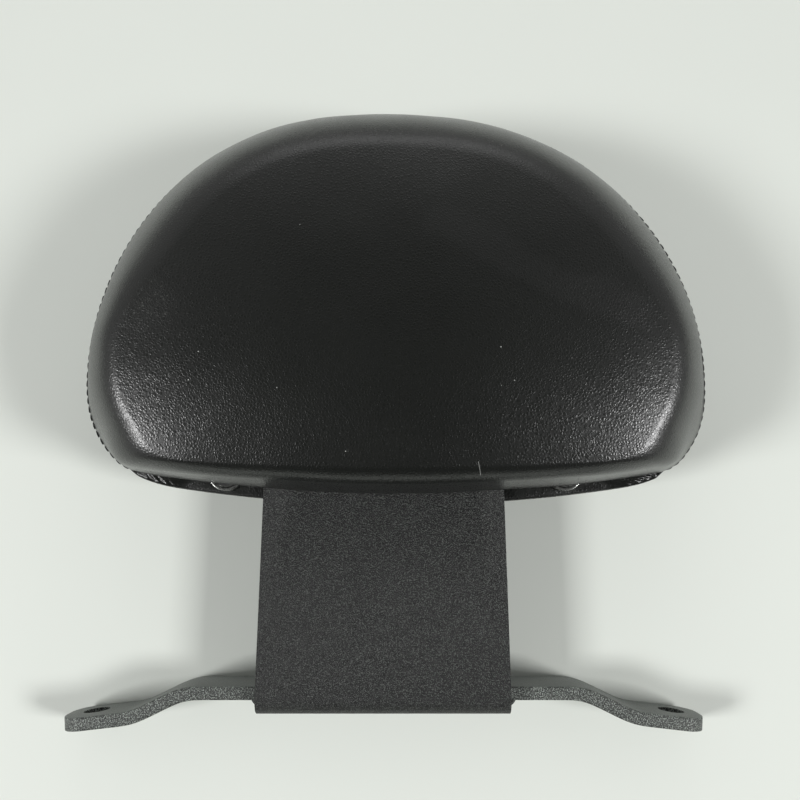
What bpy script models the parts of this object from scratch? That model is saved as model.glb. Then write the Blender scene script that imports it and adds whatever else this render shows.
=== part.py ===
"""Seat backrest for a motorbike: a slip-on leather pad on a bent steel bracket.

Upright as fitted: +Z up, the pad's face towards -Y. The origin lies midway
between the two bolt holes, on the underside of the feet. The Y values below
are measured from the plate's front face; main sets the whole on the bolt line.
"""

import math

import bmesh
import bpy
from mathutils import Matrix, Vector

MM = 0.001
FIT = 0.3 * MM  # clearance between two pieces that touch
RUN = 0.4 * MM  # clearance round soft or wrapped pieces

# Mounting bar
BOLT_SPACING = 260.0 * MM
BAR_END = 12.0 * MM  # bolt hole's centre to the bar's end
BAR_WIDTH = 28.0 * MM
BAR_THICKNESS = 6.0 * MM
BAR_TIP_RADIUS = 10.0 * MM
BOLT_HOLE = 11.5 * MM
JOGGLE_FOOT = 20.7 * MM  # bolt hole's centre to the foot of the joggle
JOGGLE_RUN = 21.6 * MM
JOGGLE_DROP = 10.4 * MM
BEND_RADIUS = 14.0 * MM
FOOT_TILT = math.radians(6.3)

# Bracket plate
PLATE_THICKNESS = 5.0 * MM
PLATE_FOOT_WIDTH = 110.6 * MM
PLATE_TOP_WIDTH = 104.0 * MM
PLATE_HEIGHT = 236.0 * MM
PLATE_CORNER_RADIUS = 24.0 * MM
PLATE_INNER_RADIUS = 3.0 * MM
FLANGE_MARGIN = 1.6 * MM  # flange left standing behind the bar
WELD_LEG = 3.0 * MM
WELD_END = 1.5 * MM  # bar left bare at each end of a weld
WELD_RIPPLES = 7

# Pad outline, seen from the front
PAD_WIDTH = 279.6 * MM
PAD_RISE = 122.0 * MM  # widest level to the top
PAD_FALL = 57.0 * MM  # widest level to the front hem
PAD_LEVEL = 147.0 * MM  # widest level above the bar's underside
PAD_SHIFT = 5.3 * MM  # how far the pad sits to the right of the plate
TOP_LEAN = 4.0 * MM  # the top's sideways set
TOP_ROUNDNESS = 2.15
FOOT_ROUNDNESS = 3.2
LIP_ROUNDNESS = 4.2
FACE_ROUNDNESS = 2.6
LIP_DROP = 2.8 * MM  # the rear lip hangs below the front hem

# Pad section
PAD_DEPTH = 52.0 * MM  # plate face to the front roll
CROWN = 6.0 * MM
SEAM_FORWARD = 5.0 * MM  # seam in front of the plate's face
SEAM_EDGE = 1.2 * MM  # straight edge where the covers are sewn
SIDE_LEAN = math.radians(30)
SIDE_ROLL = 58.0 * MM
UNDER_LEAN = math.radians(4)
UNDER_ROLL = 16.0 * MM
BACK_ROLL = 7.0 * MM
BACK_CROWN = 2.0 * MM
SIDE_HANDLE = 0.55  # of the depth, at the foot of a section's curve
SIDE_REACH = 0.45  # of the roll, at the head of it
UNDER_HANDLE = 0.8
UNDER_REACH = 0.35
LEATHER = 1.5 * MM
FACING_HEIGHT = 24.0 * MM
FACING_THICKNESS = 1.3 * MM

# Boards inside the pad
BOARD_THICKNESS = 8.0 * MM
BOARD_SIDE_INSET = 4.6 * MM
BOARD_FOOT_INSET = 2.7 * MM
REAR_BOARD_THICKNESS = 2.5 * MM
REAR_BOARD_INSET = 5.8 * MM

# Screws, washers and tee nuts
SCREW_SPACING_X = 70.0 * MM
SCREW_HEIGHT = 35.0 * MM  # lower screws above the pad's hem
SCREW_DROP = 30.7 * MM  # upper screws below the plate's top
SCREW_DIAMETER = 6.0 * MM
SCREW_HEAD = 10.5 * MM
SCREW_HEAD_HEIGHT = 3.0 * MM
SCREW_SOCKET = 4.0 * MM
WASHER_DIAMETER = 12.0 * MM
WASHER_THICKNESS = 1.2 * MM
TEE_FLANGE = 19.0 * MM
TEE_FLANGE_THICKNESS = 1.5 * MM
TEE_BARREL = 8.4 * MM
TEE_BARREL_LENGTH = 5.0 * MM

# Press studs
SNAP_GAP = 21.2 * MM  # plate's edge to the stud's centre
SNAP_HEIGHT = 6.2 * MM  # stud's centre above the hem beneath it
SNAP_SOCKET = 15.6 * MM
SNAP_CAP = 15.0 * MM
SNAP_CAP_HEIGHT = 2.6 * MM
SNAP_STUD = 11.0 * MM
SNAP_KNOB = 5.6 * MM
SNAP_KNOB_HEIGHT = 2.2 * MM
SNAP_SHANK = 3.6 * MM
SNAP_HEAD = 6.4 * MM
SHEET = 0.9 * MM  # wall of the pressed stud parts

# Fineness of the round shapes
OUTLINE_STEPS = 56
ROUND_STEPS = 16
CORNER_STEPS = 6
FACE_RINGS = 10
CROWN_RINGS = 4
BACK_RINGS = 6

# Levels and planes that follow from the sizes above
BAR_LENGTH = BOLT_SPACING + 2 * BAR_END
JOGGLE_FOOT_X = BOLT_SPACING / 2 - JOGGLE_FOOT
JOGGLE_TOP_X = JOGGLE_FOOT_X - JOGGLE_RUN
BAR_LEVEL = JOGGLE_DROP + math.tan(FOOT_TILT) * JOGGLE_FOOT
BAR_FRONT = PLATE_THICKNESS + PLATE_INNER_RADIUS + FIT
FLANGE_TOP = BAR_LEVEL - FIT
FLANGE_BACK = BAR_FRONT + BAR_WIDTH + FLANGE_MARGIN
PAD_CENTRE_Z = BAR_LEVEL + PAD_LEVEL
HEM_Z = PAD_CENTRE_Z - PAD_FALL
PLATE_FOOT_Z = FLANGE_TOP - PLATE_THICKNESS
PLATE_TOP_Z = PLATE_FOOT_Z + PLATE_HEIGHT
HEM_Y = -RUN
FACING_Y = PLATE_THICKNESS + RUN
REAR_BOARD_Y = FACING_Y + FACING_THICKNESS + FIT
BACK_Y = REAR_BOARD_Y + REAR_BOARD_THICKNESS + RUN + LEATHER
BOARD_FRONT_Y = -(FIT + BOARD_THICKNESS)
BOLT_LINE_Y = BAR_FRONT + BAR_WIDTH / 2


def smooth(low, high, value):
    """Ease from 0 at low to 1 at high."""
    t = min(1.0, max(0.0, (value - low) / (high - low)))
    return t * t * (3 - 2 * t)


def mix(a, b, t):
    return a + (b - a) * t


def bezier(points, t):
    """Point at t on a cubic curve through two end points and two handles."""
    a, b, c, d = (Vector(p) for p in points)
    s = 1 - t
    return s ** 3 * a + 3 * s * s * t * b + 3 * s * t * t * c + t ** 3 * d


# Scene and objects


def clear_scene():
    for item in list(bpy.data.objects):
        bpy.data.objects.remove(item, do_unlink=True)


def material(name, colour, roughness, metallic=0.0):
    """One Principled material, made once and shared by like pieces."""
    found = bpy.data.materials.get(name)
    if found:
        return found
    made = bpy.data.materials.new(name)
    made.use_nodes = True
    shader = made.node_tree.nodes["Principled BSDF"]
    shader.inputs["Base Color"].default_value = (*colour, 1.0)
    shader.inputs["Roughness"].default_value = roughness
    shader.inputs["Metallic"].default_value = metallic
    return made


def leather():
    return material("black_leather", (0.022, 0.023, 0.022), 0.42)


def powder_coat():
    return material("black_powder_coat", (0.03, 0.03, 0.032), 0.55)


def zinc():
    return material("zinc_plate", (0.55, 0.55, 0.53), 0.35, 1.0)


def snap_metal():
    return material("dark_snap_metal", (0.12, 0.12, 0.12), 0.4, 1.0)


def board_stuff():
    return material("pressed_board", (0.16, 0.11, 0.07), 0.8)


def place(name, bm, stuff):
    """Turn a bmesh into a named object with its faces pointing out."""
    bmesh.ops.recalc_face_normals(bm, faces=bm.faces)
    mesh = bpy.data.meshes.new(name)
    bm.to_mesh(mesh)
    bm.free()
    mesh.materials.append(stuff)
    made = bpy.data.objects.new(name, mesh)
    bpy.context.collection.objects.link(made)
    return made


def smooth_edges(made, angle=35):
    made.data.shade_smooth()
    made.data.set_sharp_from_angle(angle=math.radians(angle))
    return made


def cut(made, cutter):
    """Take the cutter's shape out of an object."""
    boolean = made.modifiers.new("cut_" + cutter.name, "BOOLEAN")
    boolean.operation = "DIFFERENCE"
    boolean.solver = "EXACT"
    boolean.object = cutter
    return made


def drill(name, centre, direction, diameter, length, steps=ROUND_STEPS):
    """A round cutter whose middle is at centre."""
    bm = bmesh.new()
    bmesh.ops.create_cone(
        bm, cap_ends=True, segments=steps, radius1=diameter / 2, radius2=diameter / 2, depth=length
    )
    turn = Vector((0, 0, 1)).rotation_difference(Vector(direction)).to_matrix().to_4x4()
    bmesh.ops.transform(bm, matrix=Matrix.Translation(centre) @ turn, verts=bm.verts)
    cutter = place(name, bm, powder_coat())
    cutter.hide_render = True
    cutter.display_type = "WIRE"
    return cutter


def turned(name, profile, centre, stuff):
    """Spin a closed profile of (radius, y) points round the Y direction."""
    bm = bmesh.new()
    rows = []
    for step in range(ROUND_STEPS):
        angle = 2 * math.pi * step / ROUND_STEPS
        rows.append([
            bm.verts.new((centre[0] + r * math.cos(angle), y, centre[2] + r * math.sin(angle)))
            for r, y in profile
            if r > 0
        ])
    poles = [bm.verts.new((centre[0], y, centre[2])) for r, y in profile if r == 0]
    for row, after in zip(rows, rows[1:] + rows[:1]):
        for index in range(len(row) - 1):
            bm.faces.new((row[index], row[index + 1], after[index + 1], after[index]))
        if poles:
            bm.faces.new((poles[0], row[0], after[0]))
            bm.faces.new((row[-1], poles[-1], after[-1]))
        else:
            bm.faces.new((row[-1], row[0], after[0], after[-1]))
    return smooth_edges(place(name, bm, stuff))


def slab(name, outline, front, back, stuff):
    """A flat board: an outline of (x, z) points between two Y planes."""
    bm = bmesh.new()
    face = bm.faces.new([bm.verts.new((x, front, z)) for x, z in outline])
    moved = bmesh.ops.extrude_face_region(bm, geom=[face])["geom"]
    corners = [item for item in moved if isinstance(item, bmesh.types.BMVert)]
    bmesh.ops.translate(bm, verts=corners, vec=(0, back - front, 0))
    return place(name, bm, stuff)


# Bracket


def rounded_line(points, radii, steps=CORNER_STEPS - 1):
    """An open line of (x, z) points whose inner corners are arcs."""
    line = [Vector(points[0])]
    for before, corner, after, radius in zip(points, points[1:], points[2:], radii):
        corner = Vector(corner)
        back = (Vector(before) - corner).normalized()
        ahead = (Vector(after) - corner).normalized()
        half = back.angle(ahead) / 2
        reach = radius / math.tan(half)
        centre = corner + (back + ahead).normalized() * radius / math.sin(half)
        start = corner + back * reach - centre
        sweep = start.angle_signed(corner + ahead * reach - centre)
        for step in range(steps + 1):
            line.append(centre + Matrix.Rotation(-sweep * step / steps, 2) @ start)
    line.append(Vector(points[-1]))
    return line


def foot_height(x):
    """Height of a foot's underside at x."""
    return (BOLT_SPACING / 2 - abs(x)) * math.tan(FOOT_TILT)


def bar_line(rise, radius_low, radius_high):
    """The bar's underside from end to end, or its top at a rise."""
    tip = BAR_LENGTH / 2
    slope = math.atan2(JOGGLE_DROP, JOGGLE_RUN)
    low = Vector((JOGGLE_FOOT_X, foot_height(JOGGLE_FOOT_X)))
    high = Vector((JOGGLE_TOP_X, BAR_LEVEL))
    low += rise * Vector((math.tan((slope + FOOT_TILT) / 2), 1.0))
    high += rise * Vector((math.tan(slope / 2), 1.0))
    end = Vector((tip, foot_height(tip) + rise / math.cos(FOOT_TILT)))
    right = [high, low, end]
    left = [Vector((-p.x, p.y)) for p in reversed(right)]
    radii = [radius_low, radius_high, radius_high, radius_low]
    return rounded_line(left + right, radii)


def mounting_bar():
    under = bar_line(0.0, BEND_RADIUS, BEND_RADIUS + BAR_THICKNESS)
    over = bar_line(BAR_THICKNESS, BEND_RADIUS + BAR_THICKNESS, BEND_RADIUS)
    bm = bmesh.new()
    loop = [bm.verts.new((p.x, BAR_FRONT, p.y)) for p in under + over[::-1]]
    face = bm.faces.new(loop)
    moved = bmesh.ops.extrude_face_region(bm, geom=[face])["geom"]
    corners = [item for item in moved if isinstance(item, bmesh.types.BMVert)]
    bmesh.ops.translate(bm, verts=corners, vec=(0, BAR_WIDTH, 0))
    tips = [
        edge
        for edge in bm.edges
        if all(abs(vert.co.x) > BAR_LENGTH / 2 - BAR_THICKNESS for vert in edge.verts)
        and abs(edge.verts[0].co.y - edge.verts[1].co.y) < FIT
    ]
    bmesh.ops.bevel(bm, geom=tips, offset=BAR_TIP_RADIUS, segments=CORNER_STEPS, profile=0.5, affect="EDGES")
    bar = place("mounting_bar", bm, powder_coat())
    for side in (-1, 1):
        lean = Vector((side * math.sin(FOOT_TILT), 0, math.cos(FOOT_TILT)))
        centre = Vector((side * BOLT_SPACING / 2, BAR_FRONT + BAR_WIDTH / 2, 0)) + lean * BAR_THICKNESS / 2
        cut(bar, drill("bolt_drill_%d" % side, centre, lean, BOLT_HOLE, 3 * BAR_THICKNESS, 2 * ROUND_STEPS))
    return smooth_edges(bar)


def plate_half_width(z):
    """Half the plate's width at height z, which narrows upwards."""
    return mix(PLATE_FOOT_WIDTH, PLATE_TOP_WIDTH, (z - PLATE_FOOT_Z) / PLATE_HEIGHT) / 2


def bracket_plate():
    """A flat blank, rounded at its top, folded back at its foot."""
    outer = PLATE_INNER_RADIUS + PLATE_THICKNESS
    foot = PLATE_FOOT_Z
    turns = [math.radians(90) * step / CORNER_STEPS for step in range(1, CORNER_STEPS + 1)]
    line = [(0.0, PLATE_TOP_Z), (0.0, foot + outer)]
    line += [(outer * (1 - math.cos(turn)), foot + outer * (1 - math.sin(turn))) for turn in turns]
    line.append((FLANGE_BACK, foot))
    normals = [(1.0, 0.0)] * 2
    normals += [(math.cos(turn), math.sin(turn)) for turn in turns]
    normals.append((0.0, 1.0))
    bm = bmesh.new()
    strips = []
    for (y, z), (ny, nz) in zip(line, normals):
        half = plate_half_width(z)
        inner = (y + ny * PLATE_THICKNESS, z + nz * PLATE_THICKNESS)
        strips.append([
            bm.verts.new((-half, y, z)),
            bm.verts.new((half, y, z)),
            bm.verts.new((half, *inner)),
            bm.verts.new((-half, *inner)),
        ])
    for strip, after in zip(strips, strips[1:]):
        for index in range(4):
            following = (index + 1) % 4
            bm.faces.new((strip[index], strip[following], after[following], after[index]))
    bm.faces.new(strips[0])
    bm.faces.new(strips[-1][::-1])
    corners = [
        edge
        for edge in bm.edges
        if all(vert.co.z > PLATE_TOP_Z - FIT for vert in edge.verts)
        and abs(edge.verts[0].co.x - edge.verts[1].co.x) < FIT
    ]
    bmesh.ops.bevel(
        bm, geom=corners, offset=PLATE_CORNER_RADIUS, segments=CORNER_STEPS, profile=0.5, affect="EDGES"
    )
    plate = place("bracket_plate", bm, powder_coat())
    for number, (x, z) in enumerate(screw_places(), 1):
        hole = drill("plate_drill_%d" % number, (x, PLATE_THICKNESS / 2, z), (0, 1, 0),
                     SCREW_DIAMETER + 2 * FIT, 3 * PLATE_THICKNESS)
        cut(plate, hole)
    return smooth_edges(plate)


def weld(name, side):
    """A rippled fillet between the bar's underside and the flange's edge."""
    edge = plate_half_width(PLATE_FOOT_Z) + FIT
    top = BAR_LEVEL - FIT
    section = [(0.0, 0.0), (1.0, 0.0), (0.82, -0.28), (0.58, -0.58), (0.28, -0.82), (0.0, -1.0)]
    length = BAR_WIDTH - 2 * WELD_END
    steps = 2 * WELD_RIPPLES
    bm = bmesh.new()
    rows = []
    for step in range(steps + 1):
        end = 0.55 if step in (0, steps) else 1.0
        leg = WELD_LEG * end * (1.0 if step % 2 else 0.88)
        y = BAR_FRONT + WELD_END + length * step / steps
        rows.append([bm.verts.new((side * (edge + leg * a), y, top + leg * b)) for a, b in section])
    for row, after in zip(rows, rows[1:]):
        for index in range(len(section)):
            following = (index + 1) % len(section)
            bm.faces.new((row[index], row[following], after[following], after[index]))
    bm.faces.new(rows[0][::-1])
    bm.faces.new(rows[-1])
    return smooth_edges(place(name, bm, powder_coat()), 50)


# Pad outline and skins


def oval(angle, half_width, rise, fall, roundness):
    """A point of a D-shaped oval round the pad's widest level; angle 0 is at +X."""
    across = math.cos(angle)
    up = math.sin(angle)
    power = 2 / (TOP_ROUNDNESS if up >= 0 else roundness)
    reach = rise if up >= 0 else fall
    x = math.copysign(abs(across) ** power, across) * half_width
    z = math.copysign(abs(up) ** power, up) * reach
    lean = TOP_LEAN * max(0.0, z / rise) ** 2.5
    return PAD_SHIFT + x - lean, PAD_CENTRE_Z + z


def front_point(angle, inset):
    """On the front cover's outline, drawn in by inset."""
    return oval(angle, PAD_WIDTH / 2 - inset, PAD_RISE - inset, PAD_FALL - inset, FOOT_ROUNDNESS)


def face_point(angle):
    """On the line where the roll runs out into the face."""
    return oval(angle, PAD_WIDTH / 2 - SIDE_ROLL, PAD_RISE - SIDE_ROLL, PAD_FALL - UNDER_ROLL, FACE_ROUNDNESS)


def back_point(angle, inset, spread=1.0):
    """On the back's outline: spread 0 is the seam's shape, 1 the lip's."""
    roundness = mix(FOOT_ROUNDNESS, LIP_ROUNDNESS, spread)
    fall = PAD_FALL + LIP_DROP * spread
    return oval(angle, PAD_WIDTH / 2 - inset, PAD_RISE - inset, fall - inset, roundness)


def outline_angles():
    return [2 * math.pi * (step + 0.5) / OUTLINE_STEPS for step in range(OUTLINE_STEPS)]


def at_foot(angle):
    """0 round the top and sides, 1 along the bottom."""
    return smooth(0.05, 0.92, -math.sin(angle))


def at_mouth(angle):
    """0 where the seam is sewn, 1 where the front hem reaches the plate."""
    return smooth(0.72, 0.88, -math.sin(angle))


def at_lip(angle):
    """0 where the seam is sewn, 1 where the rear lip hangs behind the plate."""
    return smooth(0.60, 0.84, -math.sin(angle))


def front_section(angle, ring):
    """Point on the front cover's outer face; ring 0 is its sewn edge or hem."""
    t = max(0, ring - 1) / (FACE_RINGS - 2)
    side_start = -SEAM_FORWARD - SEAM_EDGE
    depth = PAD_DEPTH + side_start
    side = [
        (0.0, side_start),
        (SIDE_HANDLE * depth * math.tan(SIDE_LEAN) / SIDE_ROLL, side_start - SIDE_HANDLE * depth),
        (SIDE_REACH, -PAD_DEPTH),
        (1.0, -PAD_DEPTH),
    ]
    foot_start = HEM_Y - SEAM_EDGE
    depth = PAD_DEPTH + foot_start
    foot = [
        (0.0, foot_start),
        (UNDER_HANDLE * depth * math.tan(UNDER_LEAN) / UNDER_ROLL, foot_start - UNDER_HANDLE * depth),
        (UNDER_REACH, -PAD_DEPTH),
        (1.0, -PAD_DEPTH),
    ]
    low = at_foot(angle)
    share, y = bezier(side, t).lerp(bezier(foot, t), low)
    edge = mix(-SEAM_FORWARD, HEM_Y, at_mouth(angle))
    y += (edge - SEAM_EDGE - mix(side_start, foot_start, low)) * (1 - t) ** 3
    if ring == 0:
        y = edge
    x, z = Vector(front_point(angle, 0.0)).lerp(Vector(face_point(angle)), share)
    return Vector((x, y, z))


def back_section(angle, ring):
    """Point on the rear cover's outer face; ring 0 is its sewn edge or lip."""
    t = ring / (BACK_RINGS - 1)
    start = mix(FIT - SEAM_FORWARD, FACING_Y, at_lip(angle))
    curve = [(0.0, start), (0.0, mix(start, BACK_Y, 0.75)), (0.06 * BACK_ROLL, BACK_Y), (BACK_ROLL, BACK_Y)]
    point = bezier(curve, t)
    x, z = back_point(angle, point.x, max(at_lip(angle), smooth(0.0, 0.5, t)))
    return Vector((x, point.y, z))


def pad_middle():
    """(x, z) of the pad's crown."""
    return PAD_SHIFT, PAD_CENTRE_Z + (PAD_RISE - PAD_FALL) / 2


def crown_share(x, z):
    """1 at the pad's crown, easing to 0 at its outline."""
    middle_x, middle_z = pad_middle()
    across = (x - middle_x) / (PAD_WIDTH / 2)
    up = (z - middle_z) / ((PAD_RISE + PAD_FALL) / 2)
    return max(0.0, 1 - across ** 2 - up ** 2) ** 1.5


def skin(section, rings, crown, centre_y):
    """Open skin of a half of the pad: rings from its edge to its middle."""
    bm = bmesh.new()
    middle_x, middle_z = pad_middle()
    rows = []
    for ring in range(rings):
        row = []
        for angle in outline_angles():
            row.append(section(angle, ring))
        rows.append(row)
    rim = rows[-1]
    for ring in range(1, CROWN_RINGS):
        t = ring / CROWN_RINGS
        rows.append([Vector((mix(p.x, middle_x, t), centre_y, mix(p.z, middle_z, t))) for p in rim])
    for row in rows:
        for p in row:
            p.y += crown * crown_share(p.x, p.z)
    verts = [[bm.verts.new(p) for p in row] for row in rows]
    pole = bm.verts.new((middle_x, centre_y + crown, middle_z))
    for row, after in zip(verts, verts[1:]):
        for index in range(OUTLINE_STEPS):
            following = (index + 1) % OUTLINE_STEPS
            bm.faces.new((row[index], row[following], after[following], after[index]))
    for index in range(OUTLINE_STEPS):
        bm.faces.new((verts[-1][index], verts[-1][(index + 1) % OUTLINE_STEPS], pole))
    bmesh.ops.triangulate(bm, faces=bm.faces)
    bmesh.ops.recalc_face_normals(bm, faces=bm.faces)
    outward = crown * sum(face.normal.y * face.calc_area() for face in bm.faces)
    if outward < 0:
        bmesh.ops.reverse_faces(bm, faces=bm.faces)
    bm.normal_update()
    return bm


def front_skin():
    return skin(front_section, FACE_RINGS, -CROWN, -PAD_DEPTH)


def back_skin():
    return skin(back_section, BACK_RINGS, BACK_CROWN, BACK_Y)


def skin_object(name, bm):
    """Leather of one thickness under an outer skin."""
    mesh = bpy.data.meshes.new(name)
    bm.to_mesh(mesh)
    bm.free()
    mesh.materials.append(leather())
    made = bpy.data.objects.new(name, mesh)
    bpy.context.collection.objects.link(made)
    wall = made.modifiers.new("thickness", "SOLIDIFY")
    wall.thickness = LEATHER
    wall.offset = -1
    wall.use_quality_normals = True
    return smooth_edges(made, 50)


def front_cover():
    return skin_object("front_cover", front_skin())


def rear_cover():
    cover = skin_object("rear_cover", back_skin())
    for name, centre in snap_places():
        hole = drill("cover_drill_" + name, (centre[0], BACK_Y, centre[2]), (0, 1, 0),
                     SNAP_SHANK + 2 * FIT, 4 * LEATHER + 2 * BACK_CROWN)
        cut(cover, hole)
    return cover


def foam_core():
    """The front skin drawn in by the leather, cut off flat at the board."""
    bm = front_skin()
    for vert in bm.verts:
        vert.co -= vert.normal * (LEATHER + RUN)
    plane = Vector((0, BOARD_FRONT_Y - FIT, 0))
    bmesh.ops.bisect_plane(
        bm, geom=bm.verts[:] + bm.edges[:] + bm.faces[:], plane_co=plane, plane_no=(0, 1, 0), clear_outer=True
    )
    rim = [edge for edge in bm.edges if edge.is_boundary]
    bmesh.ops.contextual_create(bm, geom=rim)
    foam = material("grey_foam", (0.35, 0.34, 0.31), 0.95)
    return smooth_edges(place("foam_core", bm, foam), 50)


# Boards and facing


def pad_board():
    outline = []
    for angle in outline_angles():
        outline.append(front_point(angle, mix(BOARD_SIDE_INSET, BOARD_FOOT_INSET, at_foot(angle))))
    board = slab("pad_board", outline, BOARD_FRONT_Y, -FIT, board_stuff())
    for number, (x, z) in enumerate(screw_places(), 1):
        middle = (x, BOARD_FRONT_Y / 2, z)
        bore = TEE_BARREL + 2 * FIT
        cut(board, drill("tee_drill_%d" % number, middle, (0, 1, 0), bore, 3 * BOARD_THICKNESS))
        pocket = 2 * (TEE_FLANGE_THICKNESS + FIT)
        spot = (x, BOARD_FRONT_Y, z)
        cut(board, drill("tee_pocket_%d" % number, spot, (0, 1, 0), TEE_FLANGE + 2 * FIT, pocket))
    for name, (x, _, z) in snap_places():
        middle = (x, BOARD_FRONT_Y / 2, z)
        cut(board, drill("post_drill_" + name, middle, (0, 1, 0), SNAP_SHANK + 2 * FIT, 3 * BOARD_THICKNESS))
        pocket = 2 * (SHEET + FIT)
        spot = (x, BOARD_FRONT_Y, z)
        cut(board, drill("post_pocket_" + name, spot, (0, 1, 0), SNAP_HEAD + 2 * FIT, pocket))
    return board


def rear_board():
    outline = [back_point(angle, REAR_BOARD_INSET) for angle in outline_angles()]
    board = slab("rear_board", outline, REAR_BOARD_Y, REAR_BOARD_Y + REAR_BOARD_THICKNESS, board_stuff())
    middle = REAR_BOARD_Y + REAR_BOARD_THICKNESS / 2
    for number, (x, z) in enumerate(screw_places(), 1):
        hole = drill("head_drill_%d" % number, (x, middle, z), (0, 1, 0),
                     WASHER_DIAMETER + 4 * FIT, 3 * REAR_BOARD_THICKNESS)
        cut(board, hole)
    for name, (x, _, z) in snap_places():
        hole = drill("shank_drill_" + name, (x, middle, z), (0, 1, 0),
                     SNAP_SHANK + 2 * FIT, 3 * REAR_BOARD_THICKNESS)
        cut(board, hole)
    return board


def lip_facing():
    """A strip along the mouth, inside the part of the lip that hangs free."""
    inset = LEATHER + RUN + BACK_ROLL / 8
    ceiling = back_point(1.5 * math.pi, inset)[1] + FACING_HEIGHT
    low = sorted(back_point(angle, inset) for angle in outline_angles() if at_lip(angle) == 1)
    outline = low + [(low[-1][0], ceiling), (low[0][0], ceiling)]
    facing = slab("lip_facing", outline, FACING_Y, FACING_Y + FACING_THICKNESS, leather())
    for name, (x, _, z) in snap_places():
        hole = drill("facing_drill_" + name, (x, FACING_Y, z), (0, 1, 0),
                     SNAP_SHANK + 2 * FIT, 6 * FACING_THICKNESS)
        cut(facing, hole)
    return facing


# Fasteners


def screw_places():
    """(x, z) of the four screws through the plate."""
    levels = (HEM_Z + SCREW_HEIGHT, PLATE_TOP_Z - SCREW_DROP)
    return [(side * SCREW_SPACING_X / 2, level) for level in levels for side in (-1, 1)]


def tee_nut(number, x, z):
    bore = SCREW_DIAMETER / 2 + FIT
    barrel = TEE_BARREL / 2
    flange = TEE_FLANGE / 2
    face = BOARD_FRONT_Y
    seat = face + TEE_FLANGE_THICKNESS
    end = seat + TEE_BARREL_LENGTH
    profile = [(bore, face), (flange, face), (flange, seat), (barrel, seat), (barrel, end), (bore, end)]
    return turned("tee_nut_%d" % number, profile, (x, 0, z), zinc())


def pad_washer(number, x, z):
    bore = SCREW_DIAMETER / 2 + FIT
    rim = WASHER_DIAMETER / 2
    near = PLATE_THICKNESS + FIT
    far = near + WASHER_THICKNESS
    profile = [(bore, near), (rim, near), (rim, far), (bore, far)]
    return turned("pad_washer_%d" % number, profile, (x, 0, z), zinc())


def pad_screw(number, x, z):
    """A button head screw with a hexagon socket."""
    shank = SCREW_DIAMETER / 2
    head = SCREW_HEAD / 2
    seat = PLATE_THICKNESS + WASHER_THICKNESS + 2 * FIT
    top = seat + SCREW_HEAD_HEIGHT
    end = BOARD_FRONT_Y + TEE_FLANGE_THICKNESS / 2
    dome = [(head * math.cos(a), seat + SCREW_HEAD_HEIGHT * math.sin(a)) for a in (0.25, 0.7, 1.1)]
    profile = [(0, end), (shank * 0.8, end), (shank, end + 0.2 * shank), (shank, seat), (head, seat)]
    profile += dome + [(0, top)]
    screw = turned("pad_screw_%d" % number, profile, (x, 0, z), zinc())
    bm = bmesh.new()
    corner = SCREW_SOCKET / math.sqrt(3)
    bmesh.ops.create_cone(
        bm, cap_ends=True, segments=6, radius1=corner, radius2=corner, depth=SCREW_HEAD_HEIGHT
    )
    turn = Matrix.Rotation(math.radians(90), 4, "X")
    bmesh.ops.transform(bm, matrix=Matrix.Translation((x, top, z)) @ turn, verts=bm.verts)
    socket = place("socket_cut_%d" % number, bm, zinc())
    socket.hide_render = True
    socket.display_type = "WIRE"
    return cut(screw, socket)


def snap_places():
    """Name and centre of each press stud."""
    half = PLATE_FOOT_WIDTH / 2 + SNAP_GAP
    share = (1 - (half / (PAD_WIDTH / 2)) ** FOOT_ROUNDNESS) ** (1 / FOOT_ROUNDNESS)
    level = PAD_CENTRE_Z - PAD_FALL * share + SNAP_HEIGHT
    return [("left", (PAD_SHIFT - half, 0.0, level)), ("right", (PAD_SHIFT + half, 0.0, level))]


def snap_stud(name, centre):
    """Flange on the board's rear face, with the knob that snaps in."""
    bore = SNAP_SHANK / 2 + FIT
    near = 0.0
    face = near + SHEET
    knob = face + SNAP_KNOB_HEIGHT
    neck = SNAP_KNOB / 2 * 0.82
    profile = [
        (bore, near), (SNAP_STUD / 2, near), (SNAP_STUD / 2, face), (neck, face),
        (neck, mix(face, knob, 0.35)), (SNAP_KNOB / 2, mix(face, knob, 0.7)), (neck, knob), (bore, knob),
    ]
    return turned("snap_stud_" + name, profile, centre, snap_metal())


def snap_post(name, centre):
    """Rivet from the board's front, through the stud."""
    shank = SNAP_SHANK / 2
    face = BOARD_FRONT_Y + FIT
    end = SHEET + SNAP_KNOB_HEIGHT
    profile = [
        (0, face), (SNAP_HEAD / 2, face), (SNAP_HEAD / 2, face + SHEET),
        (shank, face + SHEET), (shank, end), (0, end),
    ]
    return turned("snap_post_" + name, profile, centre, snap_metal())


def snap_socket(name, centre):
    """Round cup on the lip facing, with a raised rim and the knob's seat."""
    back = FACING_Y - FIT
    front = SHEET + FIT
    floor = SHEET + SNAP_KNOB_HEIGHT + FIT
    rim = SNAP_SOCKET / 2
    seat = SNAP_KNOB / 2 + FIT
    profile = [
        (0, floor), (seat, floor), (seat, front + SHEET), (rim * 0.72, front + SHEET), (rim * 0.8, front),
        (rim * 0.95, front), (rim, front + SHEET / 2), (rim, mix(front, back, 0.6)),
        (rim * 0.85, back), (0, back),
    ]
    return turned("snap_socket_" + name, profile, centre, snap_metal())


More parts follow.
